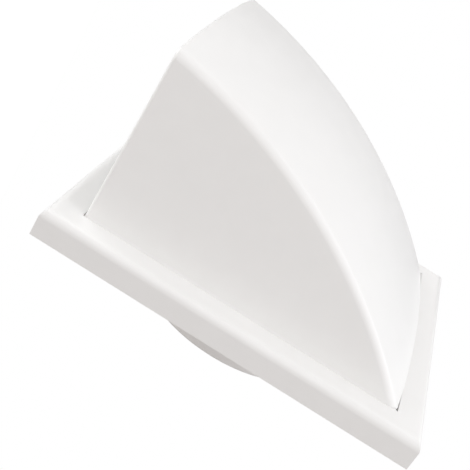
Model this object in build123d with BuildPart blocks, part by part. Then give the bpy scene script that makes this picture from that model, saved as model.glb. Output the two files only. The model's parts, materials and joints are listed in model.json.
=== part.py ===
from build123d import *
from math import atan2, cos, pi, radians, sin, sqrt, tan
import os

# Cowled cap for the outer end of a round duct: a square wall plate with a spigot,
# a hood that snaps into the plate, and a flap that hangs in front of the duct.
# The origin is on the duct axis in the wall plane. X runs to the right, Y into the
# wall and Z up, so everything in front of the wall has a negative Y.

# Hood, measured outside. The front is an arc in every upright section, and it is
# crowned: its reach and rise are larger in the middle than at the two cheeks.
hood_width = 152.6
hood_wall = 2.0
hood_draft = 4.1
mouth_drop = 75.4
mouth_edge_bevel = 0.6
cheek_reach = 93.4
crown_reach = 96.9
cheek_rise = 75.9
crown_rise = 79.0
cheek_arc_radius = 261.0
crown_arc_radius = 275.0
front_edge_round = 3.9
inner_edge_bevel = 1.6

# Fan of planes in which the arcs of the hood's front stand
fan_sections = 5
fan_overrun = 2.0
fan_root = 0.85
fan_spread = 1.1

# Fit of the hood in the plate's opening, which has a slot at each upper corner
hood_clearance = 0.06
mouth_gap = 0.75
corner_slot_length = 16.0
corner_slot_height = 0.65
skirt_step = 0.3
nib_length = 12.0
nib_height = 1.2
nib_spacing = 80.0
nib_back = 4.6
nib_lead = 2.8
nib_flat = 0.6
nib_catch = 0.6
window_clearance = 0.5

# Wall plate: the rim widths round the opening make it 180 mm square
plate_depth = 13.1
plate_wall = 2.2
side_rim = 13.64
top_rim = 11.34
bottom_rim = 13.45
plate_edge_round = 4.2
web_thickness = 3.0
rib_thickness = 1.6
rib_pitch = 44.0

# Spigot and the flap's seat, one tube through the web
spigot_radius = 49.5
spigot_wall = 2.2
spigot_length = 27.6
spigot_lead = 1.0
seat_height = 3.0

# Screws, four in the web behind the hood
screw_spacing = 124.0
screw_hole_radius = 2.25

# Back-draught flap and its hinge
flap_overlap = 1.5
flap_thickness = 1.5
flap_seat_gap = 0.3
flap_rim_width = 2.0
flap_rim_height = 1.5
flap_rib_thickness = 1.5
hinge_above_spigot = 4.5
hinge_depth = 5.5
hinge_bar_length = 70.0
hinge_side_gap = 1.0
pin_radius = 1.6
pin_clearance = 0.2
pin_overrun = 0.5
ear_radius = 3.6
ear_thickness = 3.5

# Places that follow from the sizes above
half_width = hood_width / 2
skirt_half = half_width - skirt_step
nib_tip_back = nib_back + nib_lead
nib_tip_front = nib_tip_back + nib_flat
nib_front = nib_tip_front + nib_catch
opening_half = half_width + hood_clearance
opening_top = crown_rise + hood_clearance
opening_bottom = -(mouth_drop + mouth_gap)
plate_half = opening_half + side_rim
plate_top = opening_top + top_rim
plate_bottom = opening_bottom - bottom_rim
seat_front = web_thickness + seat_height
flap_radius = spigot_radius + flap_overlap
flap_back = seat_front + flap_seat_gap
flap_front = flap_back + flap_thickness
hinge_rise = spigot_radius + hinge_above_spigot
socket_radius = pin_radius + pin_clearance
ear_inside = hinge_bar_length / 2 + hinge_side_gap
pin_end = ear_inside + ear_thickness + pin_overrun


def front_plane(distance):
    """Plane parallel to the wall, facing outwards, this far in front of it."""
    return Plane.XZ.offset(distance)


def upright_rectangle(half, bottom, top, mode=Mode.ADD):
    """Rectangle in a sketch that faces the front, centred across and from bottom to top."""
    with Locations((0, (bottom + top) / 2)):
        return Rectangle(2 * half, top - bottom, mode=mode)


def front_arc(reach, rise, radius):
    """Centre (y, z) of the hood's front in an upright section with this reach and rise."""
    lip = Vector(-reach, -mouth_drop)
    top = Vector(-plate_depth, rise)
    chord = top - lip
    inward = Vector(chord.Y, -chord.X).normalized()
    return (lip + top) * 0.5 + inward * sqrt(radius**2 - (chord.length / 2) ** 2)


def hood_block(inset, drop):
    """Solid under the hood's front, this far inside its surface and down to z = -drop.

    The front is lofted through arcs in planes that fan out from the centre of the cheeks' arc.
    The cheeks are flat and lean inwards from the rim plane on.
    """
    centre = front_arc(cheek_reach, cheek_rise, cheek_arc_radius)
    to_crown = front_arc(crown_reach, crown_rise, crown_arc_radius) - centre
    cheek_radius = cheek_arc_radius - inset
    crown_radius = crown_arc_radius - inset
    first = atan2(-drop - centre.Y, -crown_reach - centre.X) % (2 * pi) + radians(fan_overrun)
    last = atan2(crown_rise - centre.Y, -plate_depth - centre.X) - radians(fan_overrun)
    root = (plate_depth + centre.X) * fan_root
    side = half_width - inset
    lean = 2 * crown_reach * tan(radians(hood_draft))
    with BuildPart() as block:
        for step in range(fan_sections):
            angle = first + (last - first) * step / (fan_sections - 1)
            ray = Vector(cos(angle), sin(angle))
            along = to_crown.dot(ray)
            crest = along + sqrt(crown_radius**2 - to_crown.length**2 + along**2)
            shoulder = crest - (crest - cheek_radius) * fan_spread**2
            wide = half_width * fan_spread
            fan_plane = Plane((0, centre.X, centre.Y), x_dir=(1, 0, 0), z_dir=(0, -ray.Y, ray.X))
            with BuildSketch(fan_plane):
                with BuildLine():
                    Polyline((-wide, shoulder), (-wide, root), (wide, root), (wide, shoulder))
                    ThreePointArc((wide, shoulder), (0, crest), (-wide, shoulder))
                make_face()
        loft()
        with BuildSketch(Plane.XY.offset(-drop)):
            with BuildLine():
                Polyline(
                    (side, -plate_depth),
                    (side - lean, -plate_depth - 2 * crown_reach),
                    (lean - side, -plate_depth - 2 * crown_reach),
                    (-side, -plate_depth),
                    close=True,
                )
            make_face()
        extrude(amount=2 * (drop + crown_rise), mode=Mode.INTERSECT)
        front_edges = block.faces().sort_by(Axis.Y)[0].edges().group_by(SortBy.LENGTH)[-1]
        if inset:
            chamfer(front_edges, inner_edge_bevel)
        else:
            fillet(front_edges, front_edge_round)
    return block.part


def skirt_outline(inset, drop):
    """Outline of the skirt seen from the front, this far inside, down to z = -drop."""
    side = half_width - inset
    with BuildSketch() as outline:
        with BuildLine():
            Polyline((-side, cheek_rise - inset), (-side, -drop), (side, -drop), (side, cheek_rise - inset))
            ThreePointArc((side, cheek_rise - inset), (0, crown_rise - inset), (-side, cheek_rise - inset))
        make_face()
        fillet(outline.vertices().group_by(Axis.Y)[-1], front_edge_round - inset)
    return outline.sketch


def opening_outline():
    """Outline of the opening seen from the front: the hood's own, with a slot at each upper corner."""
    corner = cheek_rise + hood_clearance
    corner_round = front_edge_round + hood_clearance
    slot_start = opening_half - corner_slot_length
    slot_end_height = opening_top - (opening_top - corner) * (slot_start / opening_half) ** 2
    with BuildSketch() as outline:
        with BuildLine():
            Polyline(
                (-opening_half, corner),
                (-opening_half, opening_bottom),
                (opening_half, opening_bottom),
                (opening_half, corner),
            )
            ThreePointArc((opening_half, corner), (0, opening_top), (-opening_half, corner))
        make_face()
        fillet(outline.vertices().group_by(Axis.Y)[-1], corner_round)
        # Each slot is a wedge that opens from the middle of the rounded corner
        for side in (-1, 1):
            with BuildLine():
                Polyline(
                    (side * (opening_half - corner_round), corner - corner_round),
                    (side * opening_half, corner + corner_slot_height),
                    (side * slot_start, slot_end_height),
                    close=True,
                )
            make_face()
    return outline.sketch


def nib_outline():
    """Section of the snap nib on the right cheek, with a long lead towards the wall."""
    root = skirt_half - hood_wall / 2
    tip = skirt_half + nib_height
    with BuildSketch() as outline:
        with BuildLine():
            Polyline(
                (root, -nib_back),
                (skirt_half, -nib_back),
                (tip, -nib_tip_back),
                (tip, -nib_tip_front),
                (skirt_half, -nib_front),
                (root, -nib_front),
                close=True,
            )
        make_face()
    return outline.sketch


def channel_outline():
    """Hollow behind the rim seen from the front, with the ribs left standing."""
    with BuildSketch() as outline:
        upright_rectangle(plate_half - plate_wall, plate_bottom + plate_wall, plate_top - plate_wall)
        upright_rectangle(
            opening_half + plate_wall, opening_bottom - plate_wall, opening_top + plate_wall, Mode.SUBTRACT
        )
        for shift in (-rib_pitch, 0, rib_pitch):
            with Locations((0, shift)):
                Rectangle(2 * plate_half, rib_thickness, mode=Mode.SUBTRACT)
            with Locations((shift, 0)):
                Rectangle(rib_thickness, 2 * (plate_top - plate_bottom), mode=Mode.SUBTRACT)
    return outline.sketch


# Hood: crowned front with two cheeks, on a straight skirt that stands on the web
with BuildPart() as hood:
    add(hood_block(0, mouth_drop))
    mouth = hood.faces().sort_by(Axis.Z)[0]
    chamfer(mouth.edges().sort_by(Axis.Y)[:-1], mouth_edge_bevel)
    add(hood_block(hood_wall, mouth_drop + hood_wall), mode=Mode.SUBTRACT)
    with BuildSketch(front_plane(web_thickness)):
        add(skirt_outline(skirt_step, mouth_drop))
        add(skirt_outline(skirt_step + hood_wall, mouth_drop + hood_wall), mode=Mode.SUBTRACT)
    extrude(amount=plate_depth - web_thickness)
    for z in (-nib_spacing / 2, nib_spacing / 2):
        with BuildSketch(Plane.XY.offset(z - nib_length / 2)):
            add(nib_outline())
            mirror(about=Plane.YZ)
        extrude(amount=nib_length)
hood.part.label = "hood"

# Wall plate: rounded rim round a sunk web, hollow behind the rim
with BuildPart() as wall_plate:
    with BuildSketch(Plane.XZ):
        upright_rectangle(plate_half, plate_bottom, plate_top)
    extrude(amount=plate_depth)
    fillet(wall_plate.faces().sort_by(Axis.Y)[0].edges(), plate_edge_round)
    # Opening for the hood, and the channel behind the rim
    with BuildSketch(front_plane(web_thickness)):
        add(opening_outline())
    extrude(amount=plate_depth, mode=Mode.SUBTRACT)
    with BuildSketch(Plane.XZ):
        add(channel_outline())
    extrude(amount=plate_depth - plate_wall, mode=Mode.SUBTRACT)
    # Spigot and seat
    with BuildSketch(front_plane(seat_front)):
        Circle(spigot_radius)
    extrude(amount=-(seat_front + spigot_length))
    chamfer(wall_plate.faces().sort_by(Axis.Y)[-1].edges(), spigot_lead)
    with BuildSketch(front_plane(seat_front)):
        Circle(spigot_radius - spigot_wall)
    extrude(amount=-(seat_front + spigot_length), mode=Mode.SUBTRACT)
    # Screw holes in the web
    with BuildSketch(Plane.XZ):
        with GridLocations(screw_spacing, screw_spacing, 2, 2):
            Circle(screw_hole_radius)
    extrude(amount=web_thickness, mode=Mode.SUBTRACT)
    # Hinge ears with sockets for the flap's pins, and windows for the hood's nibs
    for side in (-1, 1):
        with BuildSketch(Plane.YZ.offset(side * ear_inside)):
            with Locations((-hinge_depth, hinge_rise)):
                Circle(ear_radius)
            with Locations((-web_thickness, hinge_rise)):
                Rectangle(hinge_depth - web_thickness, 2 * ear_radius, align=(Align.MAX, Align.CENTER))
            with Locations((-hinge_depth, hinge_rise)):
                Circle(socket_radius, mode=Mode.SUBTRACT)
        extrude(amount=side * ear_thickness)
        with BuildSketch(Plane.YZ.offset(side * opening_half)):
            with Locations((-(nib_back + nib_front) / 2, 0)):
                with GridLocations(0, nib_spacing, 1, 2):
                    Rectangle(nib_front - nib_back + 2 * window_clearance, nib_length + 2 * window_clearance)
        extrude(amount=side * plate_wall, mode=Mode.SUBTRACT)
wall_plate.part.label = "wall_plate"

# Flap: round panel with a stiffening rim, straight hinge edge and two stub pins
with BuildPart() as backdraught_flap:
    with BuildSketch(front_plane(flap_back)):
        Circle(flap_radius)
        upright_rectangle(hinge_bar_length / 2, 0, hinge_rise)
    extrude(amount=flap_thickness)
    with BuildSketch(front_plane(flap_front)):
        Circle(flap_radius)
        Circle(flap_radius - flap_rim_width, mode=Mode.SUBTRACT)
        Rectangle(flap_rib_thickness, 2 * flap_radius - flap_rim_width)
    extrude(amount=flap_rim_height)
    with BuildSketch(Plane.YZ):
        with Locations((-hinge_depth, hinge_rise)):
            Circle(pin_radius)
    extrude(amount=pin_end, both=True)
backdraught_flap.part.label = "backdraught_flap"

os.makedirs("parts", exist_ok=True)
for piece in (wall_plate, hood, backdraught_flap):
    export_step(piece.part, f"parts/{piece.part.label}.step")
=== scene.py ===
# %% [markdown]
# A cowled cap for the outer end of a round duct
#
# The object is three white mouldings: a square wall plate with a spigot behind it, a deep hood that
# snaps into the plate and opens downwards, and a round flap that hangs in front of the duct.
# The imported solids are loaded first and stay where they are. Every piece below is made in the same
# frame, in metres: X to the right, Y into the wall, Z up.

# %% Load the frame
import json
from math import atan2, cos, degrees, radians, sin, sqrt, tan

import bmesh
import bpy
from mathutils import Matrix, Vector


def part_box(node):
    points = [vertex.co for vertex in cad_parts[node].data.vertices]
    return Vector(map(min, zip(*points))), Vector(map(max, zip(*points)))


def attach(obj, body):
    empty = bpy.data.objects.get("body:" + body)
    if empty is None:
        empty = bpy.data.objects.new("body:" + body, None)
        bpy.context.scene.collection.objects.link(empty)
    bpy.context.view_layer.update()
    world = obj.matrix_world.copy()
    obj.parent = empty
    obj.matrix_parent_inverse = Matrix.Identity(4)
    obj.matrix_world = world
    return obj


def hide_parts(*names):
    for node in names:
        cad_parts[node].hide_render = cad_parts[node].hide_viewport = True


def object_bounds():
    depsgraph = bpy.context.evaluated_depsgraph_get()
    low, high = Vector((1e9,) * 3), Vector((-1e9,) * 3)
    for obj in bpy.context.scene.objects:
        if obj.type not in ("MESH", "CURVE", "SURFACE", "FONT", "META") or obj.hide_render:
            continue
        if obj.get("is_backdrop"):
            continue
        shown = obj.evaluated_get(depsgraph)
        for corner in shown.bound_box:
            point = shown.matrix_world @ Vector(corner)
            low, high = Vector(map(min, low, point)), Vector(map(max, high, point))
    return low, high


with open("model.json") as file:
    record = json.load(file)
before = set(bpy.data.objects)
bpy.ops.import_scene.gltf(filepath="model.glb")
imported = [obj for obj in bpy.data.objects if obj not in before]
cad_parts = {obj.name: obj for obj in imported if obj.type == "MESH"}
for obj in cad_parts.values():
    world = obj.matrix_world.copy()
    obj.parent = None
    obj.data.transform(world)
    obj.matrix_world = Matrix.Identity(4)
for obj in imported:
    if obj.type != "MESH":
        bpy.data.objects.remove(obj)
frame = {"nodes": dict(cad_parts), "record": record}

scene = bpy.context.scene
cad_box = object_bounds()
hood_low, hood_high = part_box("hood")
plate_low, plate_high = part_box("wall_plate")
print("solids:", ", ".join(sorted(frame["nodes"])))
print("plate, mm:", [round(1000 * side) for side in plate_high - plate_low])

# %% [markdown]
# Finishing a piece
#
# A mesh becomes a piece of the object when it has a name and rides on the body that carries it, and the
# solid it stands for is hidden. A moulding is smooth over its rounded edges and sharp at the others, so an
# edge shades sharp only where its two faces turn by more than a set angle. The Weighted Normal
# modifier lets the large flat faces decide the normals at their borders: flat walls then stay flat up
# to the rounded edges, which is how a real moulding catches the light.
#
# A mould is polished where the part shows and left coarser where it doesn't. So each piece has two
# material slots, one for its show faces and one for the rest, and a rule sorts its faces between them.

# %% Helpers that put objects into the scene
def add_object(name, data):
    """New object in the scene, with this mesh, lamp or camera as its data."""
    made = bpy.data.objects.new(name, data)
    scene.collection.objects.link(made)
    return made


def mesh_object(bm, name):
    """New object with the mesh of a bmesh, which is used up."""
    mesh = bpy.data.meshes.new(name)
    bm.to_mesh(mesh)
    bm.free()
    return add_object(name, mesh)


# %% Helper that turns a bmesh into a finished piece
sharp_turn = radians(35)
show_slot = 0
inner_slot = 1


def finished_piece(bm, name, node, body, shows):
    """Mesh object with its shading set, which stands for a solid and rides on a body."""
    bm.normal_update()
    for edge in bm.edges:
        edge.smooth = edge.is_manifold and edge.calc_face_angle() < sharp_turn
    for face in bm.faces:
        face.smooth = True
        face.material_index = show_slot if shows(face) else inner_slot
    shown = sum(face.calc_area() for face in bm.faces if face.material_index == show_slot)
    piece = mesh_object(bm, name)
    normals = piece.modifiers.new("flat_walls", "WEIGHTED_NORMAL")
    normals.weight = 100
    normals.keep_sharp = True
    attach(piece, body)
    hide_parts(node)
    print(f"{name}: {len(piece.data.polygons)} faces, {10000 * shown:.0f} square cm of them on show")
    return piece


# %% [markdown]
# The front of the hood
#
# Seen from the side the front is an arc of about 270 mm radius that starts almost upright at the
# mouth and lies back to the wall at the top. Seen from above it is crowned, so it bulges a little
# between the cheeks, and the cheeks lean in towards it. That lean is the draft that lets the hood out
# of its mould. A revolved surface is a natural start: one U-shaped section, with its two corners
# rounded, is spun about the centre of the arc. The crown, the lean and the round of the corners change
# along the way, which a plain revolve can't do, so they are added afterwards by moving the points.

# %% Sizes of the hood and the centres of its arcs
half_width = 0.07635
cheek_draft = radians(4.1)
cheek_reach = 0.0934
cheek_rise = 0.07595
cheek_radius = 0.2610
crown_reach = 0.0969
crown_radius = 0.2750
crown_overshoot = 0.00005
crown_rise = hood_high.z + crown_overshoot
mouth_z = hood_low.z
skirt_back = hood_high.y
rim_front = plate_low.y


def arc_centre(reach, rise, radius):
    """Centre, in Y and Z, of the arc from the lip of the mouth to the top of the hood."""
    lip = Vector((-reach, mouth_z))
    top = Vector((rim_front, rise))
    chord = top - lip
    inward = Vector((chord.y, -chord.x)).normalized()
    return (lip + top) / 2 + inward * sqrt(radius ** 2 - chord.length_squared / 4)


cheek_centre = arc_centre(cheek_reach, cheek_rise, cheek_radius)
crown_centre = arc_centre(crown_reach, crown_rise, crown_radius)
print("arc centre at the cheeks, mm:", [round(1000 * c, 1) for c in cheek_centre])
print("arc centre in the middle, mm:", [round(1000 * c, 1) for c in crown_centre])

# %% Section of the hood, spun about the centre of the cheeks' arc
edge_round = 0.0042
spin_overrun = radians(1.5)
section_root = 0.165
lip_angle = atan2(mouth_z - cheek_centre.y, -cheek_reach - cheek_centre.x)
top_angle = atan2(cheek_rise - cheek_centre.y, rim_front - cheek_centre.x)


def on_fan(x, reach, angle):
    """Point at this reach from the arc's axis, in the plane at this angle about it."""
    return Vector((x, cheek_centre.x + reach * cos(angle), cheek_centre.y + reach * sin(angle)))


def spun_section(steps, cuts, corner_segments):
    """Open sheet of the cheeks, the rounded corners and the front, still without a crown."""
    bm = bmesh.new()
    start = lip_angle + spin_overrun
    section = [(-half_width, section_root), (-half_width, cheek_radius)]
    section += [(-x, reach) for x, reach in reversed(section)]
    verts = [bm.verts.new(on_fan(x, reach, start)) for x, reach in section]
    for pair in zip(verts, verts[1:]):
        bm.edges.new(pair)
    bmesh.ops.bevel(
        bm, geom=verts[1:3], offset=edge_round, offset_type="OFFSET", affect="VERTICES",
        segments=corner_segments, profile=0.5, material=-1,
    )
    across = max(bm.edges, key=lambda edge: abs(edge.verts[0].co.x - edge.verts[1].co.x))
    bmesh.ops.subdivide_edges(bm, edges=[across], cuts=cuts)
    bmesh.ops.spin(
        bm, geom=bm.verts[:] + bm.edges[:], cent=on_fan(0, 0, 0), axis=(1, 0, 0),
        angle=top_angle - spin_overrun - start, steps=steps,
    )
    return bm


hood_mesh = spun_section(steps=64, cuts=31, corner_segments=10)
arc_turn = round(degrees(lip_angle - top_angle), 1)
print("spun sheet:", len(hood_mesh.faces), "faces, the arc turns", arc_turn, "degrees")

# %% Tighter corners towards the top, the crown and the draft
top_edge_round = 0.0031
near = 1e-6


def corner_share(angle):
    """Size of the rounded corner in the plane at this angle, as a share of its size at the lip."""
    along = (lip_angle - angle) / (lip_angle - top_angle)
    return 1 + along * (top_edge_round / edge_round - 1)


def crown_height(angle):
    """How far the middle of the front stands outside the cheeks' arc, along the radius at this angle."""
    shift = crown_centre - cheek_centre
    along = shift.dot(Vector((cos(angle), sin(angle))))
    return along + sqrt(crown_radius ** 2 - shift.length_squared + along ** 2) - cheek_radius


for vert in hood_mesh.verts:
    outward = Vector((vert.co.y, vert.co.z)) - cheek_centre
    angle = atan2(outward.y, outward.x) % radians(360)
    reach = outward.length
    x = vert.co.x
    if half_width - abs(x) < edge_round + near and cheek_radius - reach < edge_round + near:
        share = corner_share(angle)
        x = (half_width - share * (half_width - abs(x))) * (1 if x > 0 else -1)
        reach = cheek_radius - share * (cheek_radius - reach)
    reach += (1 - (x / half_width) ** 2) * crown_height(angle)
    vert.co = on_fan(x, reach, angle)
    vert.co.x *= 1 - tan(cheek_draft) * (rim_front - vert.co.y) / half_width
crown_ends = [round(1000 * crown_height(angle), 2) for angle in (lip_angle, top_angle)]
print("crown at the lip and at the top, mm:", crown_ends)

# %% [markdown]
# Walls, mouth and skirt of the hood
#
# A moulded hood is a thin shell of even thickness with clean, flat ends. The sheet is cut at the rim
# plane and its border is drawn straight back, which makes the skirt that stands in the plate. Then it
# gets its wall from a Solidify modifier, which keeps the thickness even round the corners. Only after
# that are the mouth and the skirt's end cut flat, so that both ends of the wall lie exactly in their
# planes. The two borders that each cut leaves are bridged.

# %% Cut at the rim plane and draw the skirt back
skirt_overrun = 0.003


def cut_away(bm, point, normal):
    """Cut the whole mesh by a plane and drop what lies on the side of its normal."""
    geom = bm.verts[:] + bm.edges[:] + bm.faces[:]
    bmesh.ops.bisect_plane(bm, geom=geom, dist=near, plane_co=point, plane_no=normal, clear_outer=True)


def open_edges(bm):
    """Edges with a face on one side only."""
    return [edge for edge in bm.edges if edge.is_boundary]


cut_away(hood_mesh, (0, rim_front, 0), (0, 1, 0))
bmesh.ops.remove_doubles(hood_mesh, verts=hood_mesh.verts, dist=near)
rim_edges = [e for e in open_edges(hood_mesh) if all(abs(v.co.y - rim_front) < near for v in e.verts)]
drawn = bmesh.ops.extrude_edge_only(hood_mesh, edges=rim_edges)["geom"]
for vert in (item for item in drawn if isinstance(item, bmesh.types.BMVert)):
    vert.co.y = skirt_back + skirt_overrun
bmesh.ops.recalc_face_normals(hood_mesh, faces=hood_mesh.faces)
outermost = max(hood_mesh.faces, key=lambda face: face.calc_center_median().x)
if outermost.normal.x < 0:
    bmesh.ops.reverse_faces(hood_mesh, faces=hood_mesh.faces)
print("skirt from", round(1000 * rim_front, 1), "to", round(1000 * skirt_back, 1), "mm")

# %% Give the sheet its wall and cut its ends flat
hood_wall = 0.0020


def with_wall(bm, thickness):
    """Two-sided shell made from an open sheet, thickened on its inner side."""
    sheet = mesh_object(bm, "sheet")
    wall = sheet.modifiers.new("wall", "SOLIDIFY")
    wall.thickness = thickness
    wall.offset = -1
    wall.use_even_offset = True
    wall.use_rim = False
    shell = bmesh.new()
    shell.from_object(sheet, bpy.context.evaluated_depsgraph_get())
    mesh = sheet.data
    bpy.data.objects.remove(sheet)
    bpy.data.meshes.remove(mesh)
    return shell


hood_mesh = with_wall(hood_mesh, hood_wall)
cut_away(hood_mesh, (0, 0, mouth_z), (0, 0, -1))
cut_away(hood_mesh, (0, skirt_back, 0), (0, 1, 0))
bmesh.ops.remove_doubles(hood_mesh, verts=hood_mesh.verts, dist=near)
bmesh.ops.bridge_loops(hood_mesh, edges=open_edges(hood_mesh))
print("hood shell:", len(hood_mesh.faces), "faces,", len(open_edges(hood_mesh)), "open edges")

# %% [markdown]
# The lip of the mouth and the snap nibs
#
# The edge of the mouth is softly rounded on the outside, and in the light it shows as a thin bright
# line. A bevel along that one edge gives it. The four nibs that hold the hood are small wedges on the
# two sides of the skirt: each is a scaled cube with its outer face narrowed, so that it slides past the
# plate's edge.

# %% Round the lip
lip_round = 0.0014
lip_segments = 4
end_facing = 0.9
side_facing = 0.5
inside_point = Vector((0, -0.04, -0.03))


def faces_out(face):
    """True for a face of the hood that looks away from its inside."""
    return face.normal.dot(face.calc_center_median() - inside_point) > 0


def outer_lip(edge):
    """True for an edge between the end face of the mouth and the outside of the hood."""
    if not all(abs(vert.co.z - mouth_z) < near for vert in edge.verts):
        return False
    side = min(edge.link_faces, key=lambda face: abs(face.normal.z))
    end = max(edge.link_faces, key=lambda face: abs(face.normal.z))
    return abs(end.normal.z) > end_facing and abs(side.normal.z) < side_facing and faces_out(side)


lip_edges = [edge for edge in hood_mesh.edges if outer_lip(edge)]
bmesh.ops.bevel(
    hood_mesh, geom=lip_edges, offset=lip_round, offset_type="OFFSET", affect="EDGES",
    segments=lip_segments, profile=0.5, material=-1, clamp_overlap=False,
)
print("lip:", len(lip_edges), "edges rounded")

# %% Add the nibs and finish the hood
nib_length = 0.012
nib_spacing = 0.080
nib_back = -0.0046
nib_front = -0.0086
nib_tip_back = -0.0074
nib_tip_front = -0.0080
skirt_step = 0.0003
nib_root = half_width - skirt_step - hood_wall / 2


def add_nib(bm, side, z):
    """Wedge on the skirt, with a long lead towards the wall and a short catch in front."""
    size = Vector((hood_high.x - nib_root, nib_back - nib_front, nib_length))
    centre = Vector((side * (nib_root + size.x / 2), nib_front + size.y / 2, z))
    placing = Matrix.Translation(centre) @ Matrix.Diagonal((*size, 1))
    cube = bmesh.ops.create_cube(bm, size=1, matrix=placing)
    for vert in cube["verts"]:
        if side * (vert.co.x - centre.x) > 0:
            vert.co.y = nib_tip_back if vert.co.y > centre.y else nib_tip_front


for side in (-1, 1):
    for z in (-nib_spacing / 2, nib_spacing / 2):
        add_nib(hood_mesh, side, z)
hood = finished_piece(hood_mesh, "hood_shell", "hood", "cap", faces_out)

# %% [markdown]
# Wall plate and flap
#
# The solids of these two already have their true form, but their meshes are loose triangles with no
# smooth shading. A copy of each is merged at its corners and its flat triangles are joined into whole
# faces, so that the rounded edges shade as one soft curve. The plate shows its rim and its four outer
# walls. The web, the ribs and the back come off the plainer side of the mould.

# %% Merged copies of the two solids
rim_depth = 0.0045
wall_skin = 0.001
flat_turn = radians(0.3)


def merged_copy(node):
    """Copy of a solid's mesh with shared corners and whole flat faces."""
    bm = bmesh.new()
    bm.from_mesh(frame["nodes"][node].data)
    bmesh.ops.remove_doubles(bm, verts=bm.verts, dist=near)
    bmesh.ops.dissolve_limit(bm, angle_limit=flat_turn, verts=bm.verts, edges=bm.edges)
    return bm


def on_rim(face):
    """True for a face of the plate's rim or of its outer walls."""
    centre = face.calc_center_median()
    room = min(plate_high.x - abs(centre.x), plate_high.z - centre.z, centre.z - plate_low.z)
    return centre.y < rim_front + rim_depth or room < wall_skin


def looks_outwards(face):
    """True for a face of the flap that looks away from the duct."""
    return face.normal.y < 0


plate_mesh = merged_copy("wall_plate")
flap_mesh = merged_copy("backdraught_flap")
plate = finished_piece(plate_mesh, "plate_moulding", "wall_plate", "cap", on_rim)
flap = finished_piece(
    flap_mesh, "flap_moulding", "backdraught_flap", "flap", looks_outwards,
)

# %% [markdown]
# White satin plastic
#
# All three pieces are the same kind of white polymer. It isn't a flat colour: the white drifts a
# little where the melt flowed and cooled, the gloss drifts with it, and the mould's fine etched grain
# breaks up the highlights. One node group makes these three effects from noise in Object coordinates
# and is placed in every material with its own colour and roughness. The shader itself stays in each
# material.
#
# The grain could be modelled, but at about 0.3 mm it is far below what this mesh can hold, so it is a
# bump. Its size is the same on all pieces because Object coordinates are in metres.

# %% Helpers for materials and their nodes
def new_material(name):
    """New material with nodes, and its shader."""
    material = bpy.data.materials.new(name)
    material.use_nodes = True
    return material, material.node_tree.nodes["Principled BSDF"]


def add_node(tree, kind, **settings):
    """New node in a tree, with its properties set by name."""
    node = tree.nodes.new(kind)
    for name, value in settings.items():
        setattr(node, name, value)
    return node


def set_inputs(node, **values):
    """Give unlinked inputs their values. An underscore in a name stands for a space."""
    for name, value in values.items():
        node.inputs[name.replace("_", " ")].default_value = value


# %% Node group with the drift of tone and gloss and the grain
flow_scale = 16.0
cloud_scale = 110.0
grain_scale = 3400.0
octave_fade = 0.55


def group_sockets(group):
    """Named inputs and outputs of the moulded skin."""
    sockets = group.interface
    sockets.new_socket("Base", in_out="INPUT", socket_type="NodeSocketColor")
    for name in ("Tone Drift", "Roughness", "Gloss Drift"):
        sockets.new_socket(name, in_out="INPUT", socket_type="NodeSocketFloat")
    sockets.new_socket("Colour", in_out="OUTPUT", socket_type="NodeSocketColor")
    for name in ("Roughness", "Height"):
        sockets.new_socket(name, in_out="OUTPUT", socket_type="NodeSocketFloat")


def noise(tree, place, scale, detail):
    """Noise of this scale on Object coordinates, centred on zero."""
    pattern = add_node(tree, "ShaderNodeTexNoise")
    set_inputs(pattern, Scale=scale, Detail=detail, Roughness=octave_fade)
    centred = add_node(tree, "ShaderNodeMath", operation="SUBTRACT")
    centred.inputs[1].default_value = 0.5
    tree.links.new(place.outputs["Object"], pattern.inputs["Vector"])
    tree.links.new(pattern.outputs["Fac"], centred.inputs[0])
    return centred.outputs[0]


def moulded_skin():
    """Group that turns a base colour and a few amounts into colour, roughness and grain height."""
    group = bpy.data.node_groups.new("moulded_skin", "ShaderNodeTree")
    group_sockets(group)
    links = group.links
    given = add_node(group, "NodeGroupInput")
    result = add_node(group, "NodeGroupOutput")
    place = add_node(group, "ShaderNodeTexCoord")
    flow = noise(group, place, flow_scale, detail=3.0)
    cloud = noise(group, place, cloud_scale, detail=4.0)
    grain = noise(group, place, grain_scale, detail=2.0)
    both = add_node(group, "ShaderNodeMath", operation="ADD")
    links.new(flow, both.inputs[0])
    links.new(cloud, both.inputs[1])
    tone = add_node(group, "ShaderNodeMath", operation="MULTIPLY_ADD")
    tone.inputs[2].default_value = 1.0
    links.new(both.outputs[0], tone.inputs[0])
    links.new(given.outputs["Tone Drift"], tone.inputs[1])
    colour = add_node(group, "ShaderNodeVectorMath", operation="SCALE")
    links.new(given.outputs["Base"], colour.inputs[0])
    links.new(tone.outputs[0], colour.inputs["Scale"])
    links.new(colour.outputs[0], result.inputs["Colour"])
    gloss = add_node(group, "ShaderNodeMath", operation="MULTIPLY_ADD")
    links.new(cloud, gloss.inputs[0])
    links.new(given.outputs["Gloss Drift"], gloss.inputs[1])
    links.new(given.outputs["Roughness"], gloss.inputs[2])
    links.new(gloss.outputs[0], result.inputs["Roughness"])
    links.new(grain, result.inputs["Height"])
    return group


skin = moulded_skin()
print("moulded skin:", len(skin.nodes), "nodes, grain of about", round(1000 / grain_scale, 2), "mm")

# %% The finishes of the three pieces
slot_colours = {row["slot"]: row["base_color"] for row in frame["record"]["materials"]}
plastic_ior = 1.49
tone_drift = 0.03
gloss_drift = 0.16
grain_strength = 0.35


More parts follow.
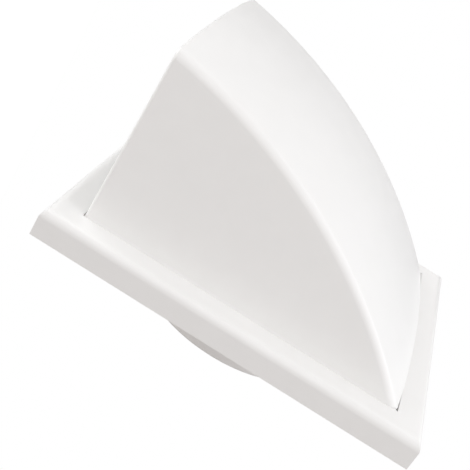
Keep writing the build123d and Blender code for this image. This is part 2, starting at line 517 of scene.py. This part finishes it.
def white_plastic(name, slot, roughness, grain_depth):
    """Satin white plastic in the colour of a record slot, with this roughness and depth of grain."""
    material, shader = new_material(name)
    tree = material.node_tree
    set_inputs(shader, IOR=plastic_ior)
    surface = add_node(tree, "ShaderNodeGroup", node_tree=skin)
    set_inputs(surface, Base=(*slot_colours[slot], 1), Roughness=roughness)
    set_inputs(surface, Tone_Drift=tone_drift, Gloss_Drift=gloss_drift)
    bump = add_node(tree, "ShaderNodeBump")
    set_inputs(bump, Strength=grain_strength, Distance=grain_depth)
    tree.links.new(surface.outputs["Colour"], shader.inputs["Base Color"])
    tree.links.new(surface.outputs["Roughness"], shader.inputs["Roughness"])
    tree.links.new(surface.outputs["Height"], bump.inputs["Height"])
    tree.links.new(bump.outputs["Normal"], shader.inputs["Normal"])
    return material


finishes = {
    hood: ("hood_plastic", 0.40),
    plate: ("plate_plastic", 0.42),
    flap: ("flap_plastic", 0.44),
}
inner_extra_roughness = 0.12
show_grain = 0.00003
inner_grain = 0.00008
for piece, (slot, roughness) in finishes.items():
    piece.data.materials.append(white_plastic(f"{slot}_show", slot, roughness, show_grain))
    inner = white_plastic(f"{slot}_inner", slot, roughness + inner_extra_roughness, inner_grain)
    piece.data.materials.append(inner)
    print(piece.name, "in", ", ".join(material.name for material in piece.data.materials))

# %% [markdown]
# Camera
#
# The camera stands to the right and in front of the cap, about level with it, and is rolled so that
# the cap seems to lie on its side. Its place, axis and lens were worked out from the straight edges of
# the plate, which is taken as square, so the perspective is close to the photograph's own.

# %% Camera at the photograph's viewing angle
camera_place = Vector((0.467666, -0.216426, -0.014087))
camera_axis = Vector((-0.913167, 0.407459, -0.010214))
camera_up = Vector((-0.340771, -0.776978, -0.529320))
camera_data = bpy.data.cameras.new("camera")
camera_data.sensor_width = 36
camera_data.lens = 81.94
camera = add_object("camera", camera_data)
turn = Matrix((camera_axis.cross(camera_up), camera_up, -camera_axis)).transposed()
camera.matrix_world = Matrix.Translation(camera_place) @ turn.to_4x4()
scene.camera = camera
print("camera distance, m:", round(camera_place.length, 3))

# %% [markdown]
# White surroundings
#
# The cap is fixed to a wall in use and floats in plain white in the picture. The floor is a large pale
# sheet far below it, which leaves room for lamps under the mouth. The sheet is lifted to white by a
# little light of its own. Light Path lets only the camera, reflections and glass see that light, so
# it doesn't brighten the cap's matt shading, and the sheet still takes the cap's faint shadow.
# The world works the same way: white where it is seen, and a softer, slightly warm grey as the light
# that comes from all sides.

# %% Mask of the rays that see the white surroundings
def seen_rays(tree):
    """Output that is 1 for rays from the camera, for reflections and through glass, and 0 for others."""
    rays = add_node(tree, "ShaderNodeLightPath")
    total = rays.outputs["Is Camera Ray"]
    for name in ("Is Glossy Ray", "Is Transmission Ray"):
        either = add_node(tree, "ShaderNodeMath", operation="MAXIMUM")
        tree.links.new(total, either.inputs[0])
        tree.links.new(rays.outputs[name], either.inputs[1])
        total = either.outputs[0]
    return total


# %% Floor
floor_drop = 1.6
floor_side = 12.0
floor_lift = 0.7


def flat_sheet(name, placing):
    """Sheet of one metre square that a matrix stretches and sets in its place."""
    bm = bmesh.new()
    bmesh.ops.create_grid(bm, x_segments=1, y_segments=1, size=0.5, matrix=placing)
    return mesh_object(bm, name)


below = Matrix.Translation((0, 0, -floor_drop))
floor = flat_sheet("floor", below @ Matrix.Diagonal((floor_side, floor_side, 1, 1)))
floor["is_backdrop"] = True
paper, paper_shader = new_material("floor_paper")
paper_tree = paper.node_tree
set_inputs(paper_shader, Base_Color=(0.9, 0.9, 0.9, 1), Roughness=0.9, Emission_Color=(1, 1, 1, 1))
lift = add_node(paper_tree, "ShaderNodeMath", operation="MULTIPLY")
lift.inputs[1].default_value = floor_lift
paper_tree.links.new(seen_rays(paper_tree), lift.inputs[0])
paper_tree.links.new(lift.outputs[0], paper_shader.inputs["Emission Strength"])
floor.data.materials.append(paper)
print("floor:", floor_side, "m square,", floor_drop, "m below the duct's axis")

# %% World
ambient_level = 0.375
ambient_colour = (1.08, 0.985, 0.945, 1)
world = bpy.data.worlds.new("studio")
scene.world = world
world.use_nodes = True
world_tree = world.node_tree
fill = world_tree.nodes["Background"]
set_inputs(fill, Color=ambient_colour, Strength=ambient_level)
seen = add_node(world_tree, "ShaderNodeBackground")
set_inputs(seen, Color=(1, 1, 1, 1), Strength=1.0)
either_light = add_node(world_tree, "ShaderNodeMixShader")
world_tree.links.new(seen_rays(world_tree), either_light.inputs["Fac"])
world_tree.links.new(fill.outputs[0], either_light.inputs[1])
world_tree.links.new(seen.outputs[0], either_light.inputs[2])
world_tree.links.new(either_light.outputs[0], world_tree.nodes["World Output"].inputs["Surface"])
print("world: light from all sides at", ambient_level)

# %% [markdown]
# Lamps
#
# The shading is soft and the shadows have no edges, so the lamps are large squares about a metre away.
# One stands in front and one to the upper right: they fill the front and the rounded edges. One stands
# above. The last two stand low: they shine into the mouth, lighten the rim below it and draw the bright
# line along the lip. A large lamp has a weak mirror image, so the rounded edges catch only a soft gleam.
# The strengths are low, so that white plastic keeps its shading instead of clipping.
#
# Each lamp's direction is two angles: how far it stands off the axis in front of the cap, and where it
# stands round that axis, counted from the right towards the top.

# %% Five soft lamps
lamp_rows = [
    ("lamp_front", 35, -60, 2.0, 6.6, (0.97, 1.0, 1.02)),
    ("lamp_right", 70, 45, 2.0, 4.2, (0.98, 1.0, 1.02)),
    ("lamp_above", 70, 90, 2.0, 12.0, (0.95, 1.0, 1.05)),
    ("lamp_under", 70, -90, 2.0, 8.8, (0.97, 1.0, 1.02)),
    ("lamp_far", 70, -135, 1.0, 3.6, (0.97, 1.01, 1.02)),
]
lamp_distance = 1.1


def lamp_direction(off_axis, around):
    """Unit vector this far off the axis in front of the cap, at this angle round it."""
    aside = sin(off_axis)
    return Vector((aside * cos(around), -cos(off_axis), aside * sin(around)))


def soft_lamp(name, direction, size, power, colour):
    """Square area lamp that faces the object from this direction."""
    data = bpy.data.lights.new(name, "AREA")
    data.size = size
    data.energy = power
    data.color = colour
    lamp = add_object(name, data)
    facing = direction.to_track_quat("Z", "Y").to_matrix().to_4x4()
    lamp.matrix_world = Matrix.Translation(direction * lamp_distance) @ facing
    lamp.visible_camera = False


for name, off_axis, around, size, power, colour in lamp_rows:
    soft_lamp(name, lamp_direction(radians(off_axis), radians(around)), size, power, colour)
    print(f"{name}: {size} m square, {power} W")

# %% [markdown]
# A dark card for the far edge
#
# White on white loses its outline. Photographers set a dark card beside such an object: seen at a flat
# angle, plastic mirrors its surroundings, so the front darkens towards its far edge and stands out.
# Such a card stands here on the far side, with its front edge tilted along the slope of the hood. Ray
# visibility lets only reflections see it, so it isn't in the picture itself and throws no shadow.

# %% Card that only reflections see
card_edge = Vector((-0.5, -0.26, 0.0))
card_tilt = radians(40)
card_depth = 1.2
card_height = 1.8
upright = Matrix.Rotation(radians(90), 4, "Y")
stretch = Matrix.Translation((0, card_depth / 2, 0)) @ Matrix.Diagonal((1, card_depth, card_height, 1))
tilt = Matrix.Translation(card_edge) @ Matrix.Rotation(-card_tilt, 4, "X")
card = flat_sheet("edge_card", tilt @ stretch @ upright)
card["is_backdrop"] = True
card.visible_camera = False
card.visible_diffuse = False
card.visible_transmission = False
card.visible_shadow = False
card_black, card_shader = new_material("card_black")
set_inputs(card_shader, Base_Color=(0.02, 0.02, 0.02, 1), Roughness=1.0)
card.data.materials.append(card_black)
print(f"card: {card_depth} m by {card_height} m, tilted by {degrees(card_tilt):.0f} degrees")

# %% [markdown]
# Colours and size
#
# The Standard view transform shows a colour as it is written. Last, the box of the dressed part is set
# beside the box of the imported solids: the looks must not change the size.

# %% View transform and the two boxes
scene.view_settings.view_transform = "Standard"
sizes = {"cad": [list(corner) for corner in cad_box], "visual": [list(corner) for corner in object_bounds()]}
for name, (low, high) in sizes.items():
    print(name, "box, mm:", [round(1000 * (b - a), 2) for a, b in zip(low, high)])
